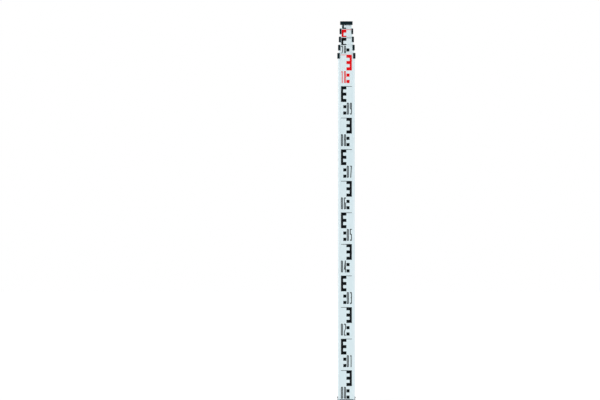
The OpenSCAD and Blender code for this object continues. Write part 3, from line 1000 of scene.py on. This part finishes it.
for k in sections:
    printFront(k)
print("front graduations printed")

rearPrint = {
    "edge": 11.75,              # the ticks start at the groove
    "ticks": {1: 2.8, 5: 4.9, 10: 7.4},     # length of a mm, 5 mm and cm tick
    "thick": {1: 0.28, 5: 0.34, 10: 0.4},
    "figureHeight": 3.3,
    "figureField": 5.0,         # width that a centimetre's number fills
    "figureGap": 0.42,
    "figureStroke": 0.42,
    "boxWidth": 7.5,
    "boxHeight": 4.5,
    "boxRound": 0.8,
    "boxFigure": 3.0,
    "boxField": 5.4,
    "boxEvery": 100,            # a decimetre's number is white in a box
    "endMargin": 1.0,           # bare metal at a tube's ends
    "steps": 2,                 # to a figure's quarter circle
    "strokeMost": 0.26,         # of a figure's width
}


def printStart(k, height, reach):
    # how far from the centre line print may begin at that height, past the holes
    start = 0.0
    for centre, radius in rearHoles(k):
        clear = radius + holes["printMargin"] + reach
        if abs(height - centre) < clear:
            start = max(start, math.sqrt(clear ** 2 - (height - centre) ** 2))
    return start


def layNumber(sheet, number, figureSets, field, height, up, low=ink["under"], high=ink["over"]):
    # a number centred on the panel, condensed to fill the same field whatever its digits
    text = str(number)
    width = digitWidth(len(text), field)
    pitch = width + rearPrint["figureGap"]
    left = -(pitch * len(text) - rearPrint["figureGap"]) / 2
    for i, digit in enumerate(text):
        lay(sheet, figureSets[len(text)][int(digit)], left + pitch * i, up - height / 2, low, high)


def digitWidth(count, field):
    # one digit is no wider than two set side by side
    shared = max(count, 2)
    return (field - rearPrint["figureGap"] * (shared - 1)) / shared


def figureSetsFor(field, height):
    sets = {}
    for count in (1, 2, 3):
        width = digitWidth(count, field)
        stroke = min(rearPrint["figureStroke"], width * rearPrint["strokeMost"])
        sets[count] = figures(width, height, stroke, rearPrint["steps"])
    return sets


def roundedBox(width, height, radius, steps=4):
    corners = [(1, 1, 0), (-1, 1, 90), (-1, -1, 180), (1, -1, 270)]
    points = []
    for x, y, start in corners:
        centre = (x * (width / 2 - radius), y * (height / 2 - radius))
        points += arc(centre, radius, start, start + 90, steps)
    return points, [list(range(len(points)))]


def printRear(k, plainSets, boxSets):
    low, high = tubeBox[k]
    scale, boxes, boxFigures = newSheet(), newSheet(), newSheet()
    box = roundedBox(rearPrint["boxWidth"], rearPrint["boxHeight"], rearPrint["boxRound"])
    first = math.ceil(low.z + raised[k] + rearPrint["endMargin"])
    last = math.floor(high.z + raised[k] - rearPrint["endMargin"])
    for height in range(first, last + 1):
        up = height - raised[k]
        kind = 10 if height % 10 == 0 else 5 if height % 5 == 0 else 1
        half = rearPrint["thick"][kind] / 2
        inner = max(rearPrint["edge"] - rearPrint["ticks"][kind], printStart(k, up, half))
        for side in (-1, 1):
            ends = sorted((side * inner, side * rearPrint["edge"]))
            layBar(scale, ends[0], up - half, ends[1], up + half)
        if kind < 10 or printStart(k, up, rearPrint["boxHeight"] / 2) > 0:
            continue
        if min(up - low.z, high.z - up) < rearPrint["boxHeight"]:
            continue
        if height % rearPrint["boxEvery"] == 0:
            lay(boxes, box, 0, up)
            layNumber(boxFigures, height // 10, boxSets, rearPrint["boxField"], rearPrint["boxFigure"],
                      up, ink["into"], ink["second"])
        else:
            layNumber(scale, height // 10, plainSets, rearPrint["figureField"],
                      rearPrint["figureHeight"], up)
    printed(scale, f"rear_scale_{k}", k, "rear", "blackInk")
    printed(boxes, f"rear_decimetre_boxes_{k}", k, "rear", "blackInk")
    printed(boxFigures, f"rear_box_figures_{k}", k, "rear", "whiteInk")


plainSets = figureSetsFor(rearPrint["figureField"], rearPrint["figureHeight"])
boxSets = figureSetsFor(rearPrint["boxField"], rearPrint["boxFigure"])
for k in sections:
    printRear(k, plainSets, boxSets)
print("rear scales printed")

# studio

studio = {
    "fill": 0.42,               # strength of the world as a light
    "seen": 1.0,                # what the camera, metal and glass see of it
    "suns": {
        # direction towards the lamp, strength, width in degrees
        "key": ((-0.45, -0.78, 0.44), 1.35, 40),
        "rear key": ((0.5, 0.76, 0.42), 1.25, 40),
        "right strip": ((0.95, -0.05, 0.3), 0.52, 24),
        "left strip": ((-0.95, 0.05, 0.3), 0.52, 24),
    },
    "floorColour": (0.92, 0.92, 0.92),
    "floorLift": 0.24,          # added to the floor as it is seen, which makes the open floor white
    "floorHalf": 25.0,
    "floorDrop": 0.0002,        # the floor lies this far below the sole
}


def seenDirectly(tree):
    # 1 for rays from the camera, off metal and through glass
    path = place(tree, "ShaderNodeLightPath")
    seen = combine(tree, "MAXIMUM", path.outputs["Is Camera Ray"], path.outputs["Is Glossy Ray"])
    return combine(tree, "MAXIMUM", seen, path.outputs["Is Transmission Ray"])


def makeWorld():
    world = bpy.data.worlds.new("studio")
    world.use_nodes = True
    scene.world = world
    tree = world.node_tree
    tree.nodes.clear()
    fill = place(tree, "ShaderNodeBackground")
    fill.inputs["Strength"].default_value = studio["fill"]
    seen = place(tree, "ShaderNodeBackground")
    seen.inputs["Strength"].default_value = studio["seen"]
    for background in (fill, seen):
        background.inputs["Color"].default_value = (1, 1, 1, 1)
    mix = place(tree, "ShaderNodeMixShader")
    link(tree, seenDirectly(tree), mix.inputs["Fac"])
    link(tree, fill.outputs["Background"], mix.inputs[1])
    link(tree, seen.outputs["Background"], mix.inputs[2])
    link(tree, mix.outputs["Shader"], place(tree, "ShaderNodeOutputWorld").inputs["Surface"])


def makeFloor():
    mesh = bpy.data.meshes.new("floor")
    reach = studio["floorHalf"]
    mesh.from_pydata([(-reach, -reach, 0), (reach, -reach, 0), (reach, reach, 0), (-reach, reach, 0)],
                     [], [(0, 1, 2, 3)])
    floor = bpy.data.objects.new("floor", mesh)
    floor.location.z = -studio["floorDrop"]
    scene.collection.objects.link(floor)
    material, tree, shader = newFinish("studio floor")
    shader.inputs["Base Color"].default_value = (*studio["floorColour"], 1)
    shader.inputs["Roughness"].default_value = 0.9
    shader.inputs["Specular IOR Level"].default_value = 0.0
    glow = place(tree, "ShaderNodeEmission")
    lift = combine(tree, "MULTIPLY", seenDirectly(tree), studio["floorLift"])
    link(tree, lift, glow.inputs["Strength"])
    both = place(tree, "ShaderNodeAddShader")
    link(tree, shader.outputs["BSDF"], both.inputs[0])
    link(tree, glow.outputs["Emission"], both.inputs[1])
    link(tree, both.outputs["Shader"], tree.nodes["Material Output"].inputs["Surface"])
    mesh.materials.append(material)


def makeSuns():
    for name, (toward, strength, width) in studio["suns"].items():
        lamp = bpy.data.lights.new(name, "SUN")
        lamp.energy = strength
        lamp.angle = math.radians(width)
        holder = bpy.data.objects.new(name, lamp)
        holder.rotation_euler = (-Vector(toward)).to_track_quat("-Z", "Y").to_euler()
        scene.collection.objects.link(holder)


# the photograph: where the staff's front stands in it, in pixels
photo = {
    "width": 600, "height": 400,
    "scale": 315.65,            # pixels to the metre
    "staffX": 346.4,            # the staff's centre line
    "zeroY": 401.87,            # the graduation's zero
    "lens": 400.0,
    "sensor": 36.0,
}


def makeCamera():
    lens = bpy.data.cameras.new("camera")
    lens.lens = photo["lens"]
    lens.sensor_width = photo["sensor"]
    camera = bpy.data.objects.new("camera", lens)
    scene.collection.objects.link(camera)
    frameWidth = photo["width"] / photo["scale"]
    away = frameWidth * photo["lens"] / photo["sensor"]
    front = panelFace["front"][1] * mm
    camera.location = ((photo["width"] / 2 - photo["staffX"]) / photo["scale"], front - away,
                       (photo["zeroY"] - photo["height"] / 2) / photo["scale"])
    camera.rotation_euler = (math.radians(90), 0, 0)
    lens.clip_start = 0.1
    lens.clip_end = 200
    scene.camera = camera


makeWorld()
makeFloor()
makeSuns()
makeCamera()
scene.view_settings.view_transform = "Standard"
print("studio ready")
